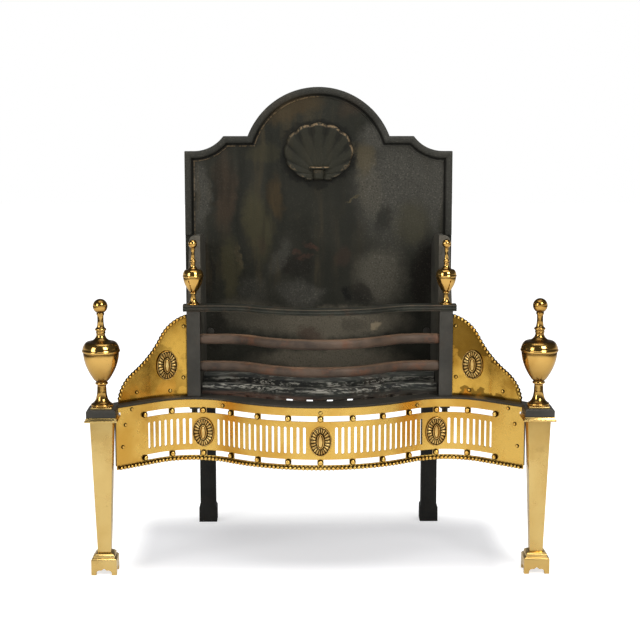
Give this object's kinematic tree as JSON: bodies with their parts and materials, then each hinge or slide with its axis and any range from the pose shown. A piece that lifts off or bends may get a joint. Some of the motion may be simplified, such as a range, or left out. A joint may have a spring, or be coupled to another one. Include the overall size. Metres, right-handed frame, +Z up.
{
  "type": "fire grate",
  "caption": "Serpentine fire grate: cast iron basket with arched fireback and shell, brass pierced fret, beaded wings, square tapered legs and urn finials.",
  "frame": {"origin": "middle of the whole grate's footprint, on the hearth", "axes": "+X to the right seen from the room, +Y to the fireback, +Z up"},
  "size_m": [0.761, 0.3644, 0.7775],
  "materials": {
    "back_iron": "sand-cast, blackened, heat-stained",
    "black_iron": "blackened, satin",
    "burnt_iron": "burnt brown, dusted with ash",
    "brass": "polished, lightly worn",
    "aged_brass": "darkened in its recesses"
  },
  "bodies": {
    "basket": {"fireback": "back_iron", "cheek_left": "back_iron", "cheek_right": "back_iron", "upright_left": "black_iron", "upright_right": "black_iron", "upright_nuts": "black_iron", "top_rail": "black_iron", "upper_bar": "burnt_iron", "lower_bar": "burnt_iron", "front_rail": "black_iron", "end_strap_left": "black_iron", "end_strap_right": "black_iron", "fret": "brass", "fret_beading": "brass", "fret_studs": "brass", "fret_rivets": "brass", "fret_paterae": "aged_brass", "wing_left": "brass", "wing_right": "brass", "wing_bracket_left": "black_iron", "wing_bracket_right": "black_iron", "wing_beading_left": "brass", "wing_beading_right": "brass", "wing_patera_left": "aged_brass", "wing_patera_right": "aged_brass", "wing_rivets": "brass", "leg_left": "brass", "leg_right": "brass", "foot_left": "brass", "foot_right": "brass", "leg_cap_left": "brass", "leg_cap_right": "brass", "plinth_left": "brass", "plinth_right": "brass", "finial_left": "brass", "finial_right": "brass", "leg_rod_left": "black_iron", "leg_rod_right": "black_iron", "leg_rod_nuts": "black_iron", "small_finial_left": "brass", "small_finial_right": "brass", "rear_leg_left": "black_iron", "rear_leg_right": "black_iron", "rear_leg_bolts": "black_iron", "cheek_bolts": "black_iron", "strap_screws": "black_iron"},
    "grate": {"bottom_grate": "burnt_iron"}
  },
  "joints": [
    {"name": "grate_lift", "type": "slide", "parent": "basket", "child": "grate", "axis": [0, 0, 1], "range_m": [0, 0.18]}
  ]
}
